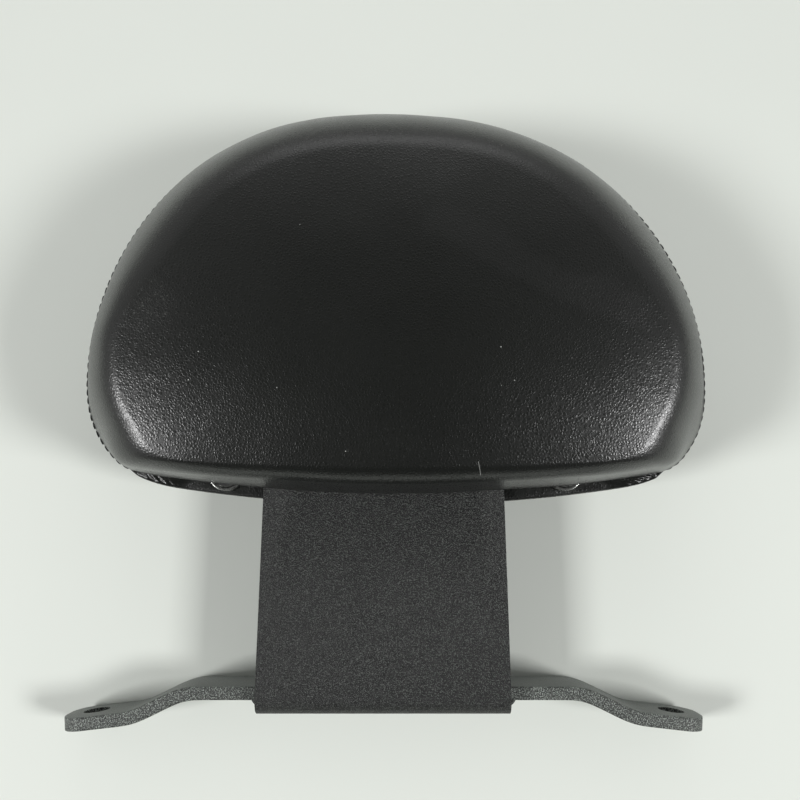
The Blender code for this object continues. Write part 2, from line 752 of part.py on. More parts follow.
def snap_cap(name, centre):
    """Domed cap on the back, with its shank through the lip."""
    shank = SNAP_SHANK / 2
    tip = FACING_Y
    seat = BACK_Y + FIT + cap_rise(centre)
    rim = SNAP_CAP / 2
    top = seat + SNAP_CAP_HEIGHT
    profile = [
        (0, tip), (shank, tip), (shank, seat), (rim, seat), (rim, mix(seat, top, 0.35)),
        (rim * 0.86, mix(seat, top, 0.75)), (rim * 0.5, mix(seat, top, 0.95)), (0, top),
    ]
    return turned("snap_cap_" + name, profile, centre, snap_metal())


def cap_rise(centre):
    """How far the crowned back stands out at the cap's upper edge."""
    return BACK_CROWN * crown_share(centre[0], centre[2] + SNAP_CAP / 2)


def main():
    clear_scene()
    bracket_plate()
    mounting_bar()
    weld("weld_left", -1)
    weld("weld_right", 1)
    front_cover()
    rear_cover()
    foam_core()
    pad_board()
    rear_board()
    lip_facing()
    for number, (x, z) in enumerate(screw_places(), 1):
        tee_nut(number, x, z)
        pad_washer(number, x, z)
        pad_screw(number, x, z)
    for name, centre in snap_places():
        snap_stud(name, centre)
        snap_post(name, centre)
        snap_socket(name, centre)
        snap_cap(name, centre)
    for item in bpy.data.objects:
        item.location.y = -BOLT_LINE_Y  # modelled from the plate's face, set on the bolt line


main()
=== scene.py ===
"""Looks of a motorbike seat backrest: a sewn leather pad on a powder-coated bracket.

The script is laid out as an add-on. Its sidebar panel lists one button for
each group of pieces and one for the stage; main presses them in order.
"""

import math

import bmesh
import bpy
from bpy.props import FloatProperty, FloatVectorProperty, PointerProperty
from mathutils import Matrix, Vector, noise


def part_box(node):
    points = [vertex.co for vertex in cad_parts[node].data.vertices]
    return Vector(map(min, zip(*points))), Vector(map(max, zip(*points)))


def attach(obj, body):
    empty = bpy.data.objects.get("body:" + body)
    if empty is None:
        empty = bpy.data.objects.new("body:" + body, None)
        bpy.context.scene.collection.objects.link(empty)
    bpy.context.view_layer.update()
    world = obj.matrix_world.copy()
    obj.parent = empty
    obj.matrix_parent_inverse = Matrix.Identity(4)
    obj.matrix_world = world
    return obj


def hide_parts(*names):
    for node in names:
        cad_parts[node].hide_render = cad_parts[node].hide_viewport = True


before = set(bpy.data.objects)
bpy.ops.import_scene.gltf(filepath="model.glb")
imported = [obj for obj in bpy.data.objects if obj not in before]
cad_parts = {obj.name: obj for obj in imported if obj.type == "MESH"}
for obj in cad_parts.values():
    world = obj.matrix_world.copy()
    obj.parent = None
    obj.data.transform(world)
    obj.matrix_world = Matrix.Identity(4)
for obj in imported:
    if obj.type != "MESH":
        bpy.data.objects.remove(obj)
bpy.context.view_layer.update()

bl_info = {
    "name": "Seat backrest looks",
    "version": (1, 0, 0),
    "blender": (4, 5, 0),
    "location": "View3D > Sidebar > Backrest",
    "description": "Builds the visible pad, bracket, press studs and stage round the fixed frame",
    "category": "Object",
}

MM = 0.001
BODY = "root"

# Planes and levels read from the frame
PLATE_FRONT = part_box("bracket_plate")[0].y
BACK_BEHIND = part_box("rear_cover")[1].y
FACING_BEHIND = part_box("lip_facing")[1].y
BAR_LOW, BAR_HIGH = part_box("mounting_bar")
FIT = 0.3 * MM  # gap between neighbours
MERGE = 0.01 * MM  # points nearer than this are one


def smooth(low, high, value):
    """Ease from 0 at low to 1 at high."""
    t = min(1.0, max(0.0, (value - low) / (high - low)))
    return t * t * (3 - 2 * t)


def mix(a, b, t):
    """From a at 0 to b at 1."""
    return a + (b - a) * t


def tint(base, factor):
    """A colour made lighter or darker."""
    return tuple(factor * part for part in base)


def bezier(points, t):
    """Point at t on a cubic curve through two end points and two handles."""
    a, b, c, d = (Vector(p) for p in points)
    s = 1 - t
    return s ** 3 * a + 3 * s * s * t * b + 3 * s * t * t * c + t ** 3 * d


def size(name, default, description):
    """A length that a user may change."""
    return FloatProperty(name=name, description=description, default=default, unit="LENGTH", precision=4)


def share(name, default, description):
    """A plain number that a user may change."""
    return FloatProperty(name=name, description=description, default=default, precision=3)


def colour(name, default, description):
    """A colour that a user may change."""
    return FloatVectorProperty(
        name=name, description=description, default=default, subtype="COLOR", size=3, min=0.0, max=1.0
    )


# What a user may change


class BackrestPad(bpy.types.PropertyGroup):
    """Form of the cushion, seen from the front and in section."""

    middle: size("Middle", 2.7 * MM, "Where the pad's widest level is centred, right of the bracket")
    level: size("Level", 158.2 * MM, "Height of the pad's widest level")
    left: size("Left half", 136.5 * MM, "Half width to the left")
    right: size("Right half", 141.9 * MM, "Half width to the right")
    rise: size("Rise", 124.0 * MM, "Widest level to the top")
    fall: size("Fall", 70.0 * MM, "Widest level down to where the sides would meet")
    top_breadth: share("Top breadth", 2.35, "Roundness of the top sideways, more is broader")
    top_roundness: share("Top roundness", 1.92, "The same upwards, less gives narrower shoulders")
    foot_roundness: share("Foot roundness", 2.55, "The same for the lower left corner")
    right_corner: share("Right corner", 0.22, "How much squarer the lower right corner is")
    face_roundness: share("Face roundness", 3.2, "The same for the lower half of the face")
    lean: size("Lean", 2.3 * MM, "Sideways set of the top")
    hem: size("Hem level", 102.5 * MM, "Height of the front hem in the middle")
    lip: size("Lip level", 97.8 * MM, "Height of the rear lip in the middle")
    hem_bow: size("Hem bow", 6.8 * MM, "How much the front hem rises over 100 mm sideways")
    lip_bow: size("Lip bow", 7.4 * MM, "How much the rear lip rises over 100 mm sideways")
    corner: size("Corner", 4.0 * MM, "Rounding where the hem meets the sides")
    depth: size("Depth", 49.2 * MM, "Plate's face to the front roll")
    crown: size("Crown", 8.8 * MM, "Extra depth in the middle of the face")
    seam: size("Seam", 5.0 * MM, "Seam in front of the plate's face")
    turn: size("Seam turn", 1.1 * MM, "Radius with which the leather turns into the seam")
    side_lean: share("Side lean", 28.0, "Lean of the side wall in degrees")
    top_roll: size("Top roll", 42.0 * MM, "Width of the roll along the top")
    side_roll: size("Side roll", 30.0 * MM, "Width of the roll at the widest level")
    corner_roll: size("Corner roll", 35.0 * MM, "Width of the roll at the lower corners")
    under_lean: share("Under lean", 1.8, "Lean of the underside in degrees")
    under_roll: size("Under roll", 7.8 * MM, "Width of the roll along the bottom")
    leather: size("Leather", 1.5 * MM, "Thickness of the leather")
    unevenness: size("Unevenness", 0.35 * MM, "How far the foam's form wanders")


class BackrestFinish(bpy.types.PropertyGroup):
    """Colours of the finishes, as they are in plain light."""

    leather: colour("Leather", (0.0047, 0.0056, 0.0044), "Black leather")
    thread: colour("Thread", (0.006, 0.006, 0.006), "Black sewing thread")
    coat: colour("Powder coat", (0.0029, 0.0032, 0.0029), "Textured black powder coat")
    paper: colour("Paper", (0.745, 0.777, 0.725), "Pale paper behind the part")


class BackrestLight(bpy.types.PropertyGroup):
    """Lamps, surroundings and the camera."""

    side_power: share("Side lamps", 15.0, "Watts of each side lamp")
    top_power: share("Top lamp", 0.4, "Watts of the lamp above")
    ring: share("Ring", 0.55, "Brightness of the surroundings at the horizon")
    zenith: share("Zenith", 0.025, "Brightness of the surroundings behind the camera")
    lens: share("Lens", 36.09, "Focal length in mm on a 36 mm sensor")


# Shader maths


class Wire:
    """An output socket that can be used in arithmetic."""

    def __init__(self, paint, socket):
        self.paint = paint
        self.socket = socket

    def sum(self, operation, *values):
        return self.paint.node("Math", {"operation": operation}, values)

    def __add__(self, other):
        return self.sum("ADD", self, other)

    __radd__ = __add__

    def __sub__(self, other):
        return self.sum("SUBTRACT", self, other)

    def __rsub__(self, other):
        return self.sum("SUBTRACT", other, self)

    def __mul__(self, other):
        return self.sum("MULTIPLY", self, other)

    __rmul__ = __mul__

    def most(self, other):
        return self.sum("MAXIMUM", self, other)

    def cosine(self):
        return self.sum("COSINE", self)

    def absolute(self):
        return self.sum("ABSOLUTE", self)

    def eased(self, low, high):
        """0 below low, 1 above high, smooth between."""
        settings = {"interpolation_type": "SMOOTHSTEP"}
        return self.paint.node("MapRange", settings, {"Value": self, "From Min": low, "From Max": high})


class Paint:
    """A material's node tree, written as expressions."""

    def __init__(self, name):
        self.material = bpy.data.materials.new(name)
        self.material.use_nodes = True
        self.tree = self.material.node_tree
        self.shader = self.tree.nodes["Principled BSDF"]

    def node(self, kind, settings=None, values=(), output=0):
        """Add a node: its settings first, then the values or links of its sockets."""
        made = self.tree.nodes.new("ShaderNode" + kind)
        for key, value in (settings or {}).items():
            setattr(made, key, value)
        pairs = values.items() if isinstance(values, dict) else enumerate(values)
        for key, value in pairs:
            self.feed(made.inputs[key], value)
        return Wire(self, made.outputs[output])

    def feed(self, socket, value):
        if isinstance(value, Wire):
            self.tree.links.new(value.socket, socket)
        elif hasattr(value, "__len__") and socket.type == "RGBA" and len(value) == 3:
            socket.default_value = (*value, 1.0)
        else:
            socket.default_value = value

    def place(self):
        """Object coordinates, in metres."""
        return self.node("TexCoord", output="Object")

    def parts(self, vector):
        """The three numbers of a vector."""
        split = self.node("SeparateXYZ", {}, [vector])
        outputs = split.socket.node.outputs
        return [Wire(self, outputs[axis]) for axis in "XYZ"]

    def noise(self, scale, detail, roughness, vector=None):
        values = {"Vector": vector or self.place(), "Scale": scale, "Detail": detail, "Roughness": roughness}
        return self.node("TexNoise", {}, values)

    def cells(self, scale, smoothness, vector=None):
        """Distance from the middle of rounded cells."""
        values = {"Vector": vector or self.place(), "Scale": scale, "Smoothness": smoothness}
        return self.node("TexVoronoi", {"feature": "SMOOTH_F1"}, values, "Distance")

    def stray(self, scale, detail, reach):
        """The place, shifted by noise, so that a pattern's edges wander."""
        place = self.place()
        drift = self.node("TexNoise", {}, {"Vector": place, "Scale": scale, "Detail": detail}, "Color")
        shift = self.node("VectorMath", {"operation": "SCALE"}, {0: drift, "Scale": reach})
        return self.node("VectorMath", {"operation": "ADD"}, [place, shift])

    def attribute(self, name):
        """A number kept at the piece's points."""
        return self.node("Attribute", {"attribute_name": name}, output="Fac")

    def blend(self, factor, first, second):
        """First where factor is 0, second where it is 1."""
        settings = {"data_type": "RGBA", "clamp_factor": True}
        return self.node("Mix", settings, {0: factor, 6: first, 7: second}, 2)

    def spot(self, centre, radius, soft, vector=None):
        """1 within radius of a point of the face, seen from the front."""
        flat = self.node("VectorMath", {"operation": "MULTIPLY"}, [vector or self.place(), (1.0, 0.0, 1.0)])
        settings = {"operation": "DISTANCE"}
        away = self.node("VectorMath", settings, [flat, (centre[0], 0.0, centre[1])], "Value")
        return 1 - away.eased(radius - soft / 2, radius + soft / 2)

    def stroke(self, start, end, width, soft, vector=None):
        """1 near a straight line on the face, seen from the front."""
        x, _, z = self.parts(vector or self.place())
        run = Vector((end[0] - start[0], end[1] - start[1]))
        length = run.length
        run.normalize()
        along = (x - start[0]) * run.x + (z - start[1]) * run.y
        across = (x - start[0]) * run.y - (z - start[1]) * run.x
        near = 1 - across.absolute().eased(width / 2, width / 2 + soft)
        ends = along.eased(-soft, 0.0) * (1 - along.eased(length, length + soft))
        return near * ends

    def bump(self, height, distance, strength=1.0, normal=None):
        values = {"Strength": strength, "Distance": distance, "Height": height}
        if normal:
            values["Normal"] = normal
        return self.node("Bump", {}, values)

    def finish(self, **sockets):
        """Feed the shader and hand over the material."""
        names = {
            "colour": "Base Color", "rough": "Roughness", "metal": "Metallic", "normal": "Normal",
            "coat": "Coat Weight", "specular": "Specular IOR Level", "coat_rough": "Coat Roughness",
        }
        for key, value in sockets.items():
            self.feed(self.shader.inputs[names[key]], value)
        return self.material


class Sky(Paint):
    """The node tree of the world, written the same way."""

    def __init__(self, name):
        self.world = bpy.data.worlds.new(name)
        self.world.use_nodes = True
        self.tree = self.world.node_tree
        self.tree.nodes.clear()

    def towards(self, way):
        """1 in one direction, 0 square to it, -1 opposite."""
        place = self.node("TexCoord", output="Generated")
        return self.node("VectorMath", {"operation": "DOT_PRODUCT"}, [place, way], "Value")

    def shine(self, strength):
        """Feed the world's light."""
        ground = self.node("Background", {}, {"Strength": strength})
        out = self.tree.nodes.new("ShaderNodeOutputWorld")
        self.tree.links.new(ground.socket, out.inputs["Surface"])


# Finishes


GRAIN_SCALE = 860.0  # pebbles of leather in a metre
GRAIN_DEPTH = 0.08 * MM
PUCKER_DEPTH = 0.3 * MM
COAT_SCALE = 1850.0  # peaks of powder coat in a metre


def leather_finish(name, marked=False):
    """Pebbled black leather, with painted shade in the creases of its grain, and the marks of use where it
    is the face's.
    """
    paint = Paint(name)
    drift = paint.noise(14.0, 3.0, 0.6)
    fine = paint.noise(2600.0, 2.0, 0.6)
    strayed = paint.stray(420.0, 2.0, 1.4 * MM)
    values = {"Vector": strayed, "Scale": GRAIN_SCALE}
    rims = paint.node("TexVoronoi", {"feature": "DISTANCE_TO_EDGE"}, values)
    creases = 1 - rims.eased(0.02, 0.34)
    dome = 1 - paint.cells(GRAIN_SCALE, 0.3, strayed)
    grain = (1 - creases) * 0.60 + dome * 0.28 + fine * 0.12
    base = bpy.context.scene.backrest_finish.leather
    tone = paint.blend(drift.eased(0.3, 0.75), tint(base, 0.82), tint(base, 1.2))
    # Painted shade: the creases of the grain are painted darker.
    tone = paint.blend(creases * 0.5, tone, tint(base, 0.7))
    rough = 0.245 + drift * 0.05 + creases * 0.05
    if marked:
        ragged = paint.stray(60.0, 4.0, 12.0 * MM)
        smear = smudge_mask(paint, ragged)
        rub = rub_mask(paint, ragged)
        tone = paint.blend(smear * 0.25, tone, tint(base, 0.5))
        streaks = paint.noise(700.0, 3.0, 0.7).eased(0.50, 0.72)
        tone = paint.blend(rub * (1 - creases) * streaks * 0.6, tone, (0.12, 0.124, 0.115))
        rough = rough + smear * 0.05 + rub * 0.04
        tone = paint.blend(dust_mask(paint), tone, (0.42, 0.43, 0.41))
    relief = paint.bump(seam_pucker(paint), PUCKER_DEPTH, 0.8)
    relief = paint.bump(grain, GRAIN_DEPTH, 0.75, relief)
    return paint.finish(colour=tone, rough=rough, specular=0.62, coat=0.12, coat_rough=0.5, normal=relief)


def seam_pucker(paint):
    """Small hollows in the leather at every stitch, fading away from the seam."""
    gap = paint.attribute("seam_gap")
    run = paint.attribute("seam_run")
    near = 1 - gap.eased(0.2, 2.6)
    wave = (run * (2 * math.pi)).cosine() * 0.5 + 0.5
    return 1 - near * wave


# Marks on the face, as x and height
SMUDGE = [(29.4 * MM, 214.6 * MM), (70.8 * MM, 191.5 * MM), (108.0 * MM, 177.1 * MM)]
SMUDGE_WIDTH, SMUDGE_SOFT = 7.0 * MM, 6.0 * MM
RUB_CENTRE = (-86.6 * MM, 179.2 * MM)
RUB_RADIUS, RUB_SOFT = 9.0 * MM, 14.0 * MM
DUST = [  # x, height and radius, all in mm
    (-32.7, 206.1, 0.14), (-71.4, 154.4, 0.22), (-75.0, 143.3, 0.24), (-40.4, 140.1, 0.18),
    (-13.7, 115.7, 0.2), (46.6, 156.0, 0.22), (51.7, 142.9, 0.2), (46.6, 140.9, 0.15),
]
DUST_SOFT = 0.15 * MM
SCRATCH = ((37.6 * MM, 111.8 * MM), (38.7 * MM, 106.8 * MM))
SCRATCH_WIDTH = 0.12 * MM


def smudge_mask(paint, ragged):
    """A dull dark smear over the upper right of the face."""
    strokes = [paint.stroke(*ends, SMUDGE_WIDTH, SMUDGE_SOFT, ragged) for ends in zip(SMUDGE, SMUDGE[1:])]
    return strokes[0].most(strokes[1])


def rub_mask(paint, ragged):
    """A rubbed patch at the left of the face, where the grain is pale."""
    return paint.spot(RUB_CENTRE, RUB_RADIUS, RUB_SOFT, ragged)


def dust_mask(paint):
    """Specks of dust and one fine scratch."""
    mask = paint.stroke(*SCRATCH, SCRATCH_WIDTH, SCRATCH_WIDTH) * 0.5
    for x, z, radius in DUST:
        mask = mask.most(paint.spot((x * MM, z * MM), radius * MM, DUST_SOFT))
    return mask


def thread_finish():
    """Bonded black thread."""
    paint = Paint("black_thread")
    twist = paint.node("TexWave", {"bands_direction": "DIAGONAL"}, {"Scale": 900.0, "Distortion": 0.5})
    tone = tuple(bpy.context.scene.backrest_finish.thread)
    relief = paint.bump(twist, 0.1 * MM, 0.6)
    return paint.finish(colour=tone, rough=0.62, normal=relief)


def coat_finish(name, painted_reflection_lift, depth, peaks):
    """Textured black powder coat: pale tops of the texture over a dark ground, which is paler where it looks
    up. The pale tops are painted highlights, the darkest hollows painted shade, and the paler upward faces a
    painted reflection of the light from above.
    """
    paint = Paint(name)
    height = paint.noise(COAT_SCALE, 1.0, 0.7)
    ground = paint.noise(22.0, 3.0, 0.5)
    # A lift above 1 paints the whole coat paler than its own black, as a painted reflection.
    base = tint(bpy.context.scene.backrest_finish.coat, painted_reflection_lift)
    tone = paint.blend(ground.eased(0.3, 0.7), tint(base, 0.85), tint(base, 1.15))
    # Painted reflection: faces that look up are painted paler, as if they mirrored the light from above; the
    # painted highlights on the tops are weaker there.
    upward = paint.parts(paint.node("NewGeometry", output="Normal"))[2]
    level = upward.eased(0.5, 0.8)
    tone = paint.blend(level, tone, tint(base, 2.6))
    shown = 1 - level * 0.85
    # Painted highlights on the tops of the texture, then painted shade in its hollows.
    tone = paint.blend(height.eased(0.53, 0.64) * shown, tone, tint(base, peaks))
    tone = paint.blend((1 - height.eased(0.38, 0.52)) * shown, tone, tint(base, 0.12))
    rough = 0.42 + height * 0.12
    return paint.finish(colour=tone, rough=rough, normal=paint.bump(height, depth))


def plain_metal(name, tone, rough):
    """Plated or blackened metal with faint drawing marks."""
    paint = Paint(name)
    marks = paint.noise(900.0, 2.0, 0.5)
    shade = paint.blend(marks, tint(tone, 0.8), tint(tone, 1.2))
    relief = paint.bump(marks, 0.02 * MM, 0.4)
    return paint.finish(colour=shade, rough=marks * 0.12 + (rough - 0.06), metal=1.0, normal=relief)


def foam_finish():
    """Open-cell foam."""
    paint = Paint("grey_foam")
    cells = paint.cells(1400.0, 0.1)
    tone = paint.blend(cells.eased(0.2, 0.6), (0.42, 0.41, 0.37), (0.16, 0.155, 0.14))
    return paint.finish(colour=tone, rough=0.95, normal=paint.bump(cells, 0.3 * MM))


def board_finish():
    """Pressed fibre board."""
    paint = Paint("fibre_board")
    place = paint.node("VectorMath", {"operation": "MULTIPLY"}, [paint.place(), (1.0, 1.0, 4.0)])
    fibres = paint.noise(380.0, 5.0, 0.6, place)
    tone = paint.blend(fibres, (0.11, 0.075, 0.045), (0.22, 0.155, 0.10))
    return paint.finish(colour=tone, rough=0.85, normal=paint.bump(fibres, 0.12 * MM))


# Mesh helpers


def clear_selection():
    """Leave edit mode and select nothing."""
    if bpy.context.object and bpy.context.object.mode != "OBJECT":
        bpy.ops.object.mode_set(mode="OBJECT")
    bpy.ops.object.select_all(action="DESELECT")


def choose(piece):
    """Select one piece alone."""
    clear_selection()
    piece.select_set(True)
    bpy.context.view_layer.objects.active = piece


def link(name, bm):
    """A new object from a bmesh."""
    mesh = bpy.data.meshes.new(name)
    bm.to_mesh(mesh)
    bm.free()
    piece = bpy.data.objects.new(name, mesh)
    bpy.context.scene.collection.objects.link(piece)
    return piece


def merged_copy(node_name, piece_name):
    """A copy of a node with its loose triangles joined, left in edit mode with all of it selected."""
    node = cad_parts[node_name]
    piece = node.copy()
    piece.data = node.data.copy()
    piece.name = piece_name
    bpy.context.scene.collection.objects.link(piece)
    choose(piece)
    bpy.ops.object.mode_set(mode="EDIT")
    bpy.ops.mesh.select_all(action="SELECT")
    bpy.ops.mesh.remove_doubles(threshold=MERGE)
    return piece


def face_towards(bm, way):
    """Turn the faces so that they look forward (-1) or back (1) over most of their area."""
    bm.normal_update()
    if sum(face.normal.y * face.calc_area() for face in bm.faces) * way < 0:
        bmesh.ops.reverse_faces(bm, faces=bm.faces)
    bm.normal_update()


def apply_modifiers(piece):
    """Put what the modifiers make into the mesh."""
    choose(piece)
    for modifier in list(piece.modifiers):
        bpy.ops.object.modifier_apply(modifier=modifier.name)


def round_edges(piece, width, angle, harden):
    """Bevel the edges that are sharper than an angle in degrees."""
    edge = piece.modifiers.new("edge", "BEVEL")
    edge.width = width
    edge.segments = 3
    edge.limit_method = "ANGLE"
    edge.angle_limit = math.radians(angle)
    edge.harden_normals = harden
    apply_modifiers(piece)


def soften(piece, angle):
    """Shade smooth, but for edges sharper than an angle in degrees."""
    choose(piece)
    bpy.ops.object.shade_smooth_by_angle(angle=math.radians(angle))


def settle(piece):
    """Put the place, turn and scale of an object into its mesh."""
    choose(piece)
    bpy.ops.object.transform_apply(location=True, rotation=True, scale=True)


def recoat(piece, material):
    """Give a piece, or a node of the frame, another finish."""
    piece.data.materials.clear()
    piece.data.materials.append(material)


def dress(piece, material, slot, *nodes):
    """Give a piece its finish, its body and the nodes that it stands for."""
    recoat(piece, material)
    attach(piece, BODY)
    if nodes:
        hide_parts(*nodes)


# Form of the pad


HEM_MIDDLE = 7.0 * MM  # x of the lowest point of the hem and of the lip
BOW_REACH = 100.0 * MM  # distance at which the bows are measured
CROWN_POWER = 3.0  # 2 is a dome, more is flatter in the middle
CROWN_POWER_ABOVE = 1.85  # the same for the upper half
BACK_CROWN = 2.0 * MM
TUCK, MOUTH_TUCK = 2.5 * MM, 6.0 * MM  # leather turned in at the seam and at the open mouth
HEM_CLEARANCE = 0.4 * MM  # the front hem to the plate's face
SEAM_GAP_LIMIT = 12.0  # greatest distance from the seam that is kept, in mm
STITCH_PITCH = 4.0 * MM
MOUTH_START, MOUTH_END = 0.57, 0.75  # where the seam ends and the mouth is open, as minus the angle's sine
FINE_START, FINE_END = 0.54, 0.84  # where the points round the pad lie closer together, likewise
FOOT_TURN = 0.4  # share of the foot's rings that lie on its level part
FRONT_TURN_STEPS, BACK_TURN_STEPS = 5, 4  # rings of the leather's turn into the seam
FRONT_RINGS, BACK_RINGS, CROWN_RINGS = 48, 16, 14
SMOOTH_ANGLE = 60


def oval(pad, angle, side, end, foot_roundness):
    """A point of the pad's D-shaped outline, drawn in at the sides and at the top or foot."""
    across, up = math.cos(angle), math.sin(angle)
    half = (pad.right if across >= 0 else pad.left) - side
    reach = (pad.rise if up >= 0 else pad.fall) - end
    if up >= 0:
        breadth, height = pad.top_breadth, pad.top_roundness
    else:
        breadth = height = foot_roundness + (pad.right_corner if across > 0 else 0.0)
    x = math.copysign(abs(across) ** (2 / breadth), across) * half
    z = math.copysign(abs(up) ** (2 / height), up) * reach
    lean = pad.lean * max(0.0, z / pad.rise) ** 2.5
    return pad.middle + x - lean, pad.level + z


def hem_line(pad, x, hang):
    """Level that ends the pad below: the front hem at hang 0, the rear lip at hang 1."""
    rise = ((x - HEM_MIDDLE) / BOW_REACH) ** 2
    return mix(pad.hem + pad.hem_bow * rise, pad.lip + pad.lip_bow * rise, hang)


def over_line(z, line, corner):
    """Lift a level smoothly over a line."""
    near = max(0.0, 1 - abs(z - line) / corner)
    return max(z, line) + near * near * corner / 4


def seam_point(pad, angle, inset=0.0, hang=0.0):
    """A point of the pad's outline, drawn in by inset."""
    x, z = oval(pad, angle, inset, inset, pad.foot_roundness)
    return x, over_line(z, hem_line(pad, x, hang) + inset, pad.corner)


def face_point(pad, angle):
    """Where the roll runs out into the face."""
    up = math.sin(angle)
    if up >= 0:
        side, end = mix(pad.side_roll, pad.top_roll, smooth(0.0, 0.6, up)), pad.top_roll
    else:
        side, end = mix(pad.side_roll, pad.corner_roll, smooth(0.0, 0.4, -up)), pad.under_roll
    x, z = oval(pad, angle, side, end, pad.face_roundness)
    line = pad.hem + 0.45 * pad.hem_bow * ((x - HEM_MIDDLE) / BOW_REACH) ** 2
    return x, over_line(z, line + pad.under_roll, 2 * pad.corner)


def pad_angles(base=320, fine=6):
    """Angles round the pad, closer together at the two corners of its mouth."""
    angles = []
    for step in range(base):
        start = 2 * math.pi * step / base
        pieces = fine if FINE_START < -math.sin(start) < FINE_END else 1
        angles += [start + 2 * math.pi / base * part / pieces for part in range(pieces)]
    return angles


def at_foot(angle):
    """0 on the side wall, 1 on the underside."""
    return smooth(0.30, 0.97, -math.sin(angle))


def at_mouth(angle):
    """0 where the seam is sewn, 1 where the mouth is fully open."""
    return smooth(MOUTH_START, MOUTH_END, -math.sin(angle))


def hem_depth(pad, angle):
    """The front cover's edge: at the seam, or just in front of the plate where the mouth is open."""
    return mix(-pad.seam, -HEM_CLEARANCE, at_mouth(angle))


def from_middle(pad, point):
    """Place on the pad from -1 to 1, sideways and upwards."""
    low, high = pad.hem, pad.level + pad.rise
    return (point.x - pad.middle) / pad.right, (point.z - (low + high) / 2) / ((high - low) / 2)


def face_crown(pad, point):
    """How far forward of its section a point of the front lies."""
    across, up = from_middle(pad, point)
    forward = min(1.0, max(0.0, (-point.y - pad.seam) / (pad.depth - pad.seam)))
    fall = abs(up) ** (CROWN_POWER_ABOVE if up > 0 else CROWN_POWER)
    return -pad.crown * forward * (1 - abs(across) ** CROWN_POWER - fall)


def back_crown(pad, point):
    """How far behind its section a point of the back lies."""
    across, up = from_middle(pad, point)
    return BACK_CROWN * max(0.0, 1 - across ** 2 - up ** 2) ** 1.5


def front_section(pad, angle, width, t):
    """Share from the seam to the face and depth, on the outside of the front cover."""
    low = at_foot(angle)
    start = hem_depth(pad, angle) - pad.turn
    reach = pad.depth + start
    high = smooth(0.0, 0.6, math.sin(angle))
    handle = mix(0.30, 0.42, high) * reach
    side_in = handle * math.tan(math.radians(pad.side_lean)) / width
    side_out = mix(0.42, 0.50, high)
    side = [(0.0, start), (side_in, start - handle), (side_out, -pad.depth)]
    return bezier(side + [(1.0, -pad.depth)], t).lerp(foot_section(pad, start, width, t), low)


def foot_section(pad, start, width, t):
    """The same along the foot: a nearly level underside, then a quarter round up to the face."""
    roll = pad.under_roll
    level = (pad.depth + start - roll) * math.tan(math.radians(pad.under_lean)) / width
    if t < FOOT_TURN:
        run = t / FOOT_TURN
        return Vector((level * run, mix(start, roll - pad.depth, run)))
    turn = math.pi / 2 * (t - FOOT_TURN) / (1 - FOOT_TURN)
    return Vector((level + (1 - level) * (1 - math.cos(turn)), -pad.depth + roll * (1 - math.sin(turn))))


def front_rows(pad, angles):
    """Rings of points from the seam to the middle of the face, with y from the plate's face."""
    rows = []
    for step in range(-1, FRONT_TURN_STEPS):
        bend = math.pi / 2 * max(0, step) / FRONT_TURN_STEPS
        row = []
        for angle in angles:
            edge = hem_depth(pad, angle)
            inset = pad.turn * (1 - math.sin(bend)) if step >= 0 else mix(TUCK, MOUTH_TUCK, at_mouth(angle))
            x, z = seam_point(pad, angle, inset)
            row.append(Vector((x, edge - pad.turn * (1 - math.cos(bend)), z)))
        rows.append(row)
    for ring in range(FRONT_RINGS):
        row = []
        for angle in angles:
            seam, face = Vector(seam_point(pad, angle)), Vector(face_point(pad, angle))
            part, y = front_section(pad, angle, (seam - face).length, ring / (FRONT_RINGS - 1))
            x, z = seam.lerp(face, part)
            row.append(Vector((x, y, z)))
        rows.append(row)
    return rows + crown_rows(pad, rows[-1])


def crown_rows(pad, rim):
    """Rings from a rim to just short of the middle."""
    low, high = min(point.z for point in rim), max(point.z for point in rim)
    middle = Vector((pad.middle, rim[0].y, (low + high) / 2))
    rows = []
    for ring in range(1, CROWN_RINGS):
        part = 1 - (1 - ring / CROWN_RINGS) ** 1.3
        rows.append([point.lerp(middle, part) for point in rim])
    return rows


def wander(point, scale, seed):
    """Smooth noise at a point, which is the same each run."""
    return noise.noise(point * scale + Vector((seed, 0.0, 0.0)))


def skin(pad, angles, rows, turned, crown, way):
    """Quads between rings moved by their crown, with a closed middle, facing forward (-1) or back (1).

    Each point keeps its distance from the seam, counted from the ring that ends the turn. The open
    mouth has no stitches, so its points count as far from the seam.
    """
    bm = bmesh.new()
    gap_layer = bm.verts.layers.float.new("seam_gap")
    run_layer = bm.verts.layers.float.new("seam_run")
    gaps = [SEAM_GAP_LIMIT * at_mouth(angle) for angle in angles]
    runs = stitch_runs(rows[0])
    table = []
    for index, row in enumerate(rows):
        made = []
        for place, point in enumerate(row):
            if index > turned:
                gaps[place] += (point - rows[index - 1][place]).length
            moved = point.copy()
            moved.y += crown(pad, point) + PLATE_FRONT
            vert = bm.verts.new(moved)
            vert[gap_layer] = min(SEAM_GAP_LIMIT, gaps[place] / MM)
            vert[run_layer] = runs[place]
            made.append(vert)
        table.append(made)
    middle = sum((vert.co for vert in table[-1]), Vector()) / len(table[-1])
    middle.y = way * max(way * vert.co.y for vert in table[-1])
    pole = bm.verts.new(middle)
    pole[gap_layer] = SEAM_GAP_LIMIT
    count = len(rows[0])
    for row, after in zip(table, table[1:]):
        for place in range(count):
            ahead = (place + 1) % count
            bm.faces.new((row[place], row[ahead], after[ahead], after[place]))
    for place in range(count):
        bm.faces.new((table[-1][place], table[-1][(place + 1) % count], pole))
    face_towards(bm, way)
    return bm


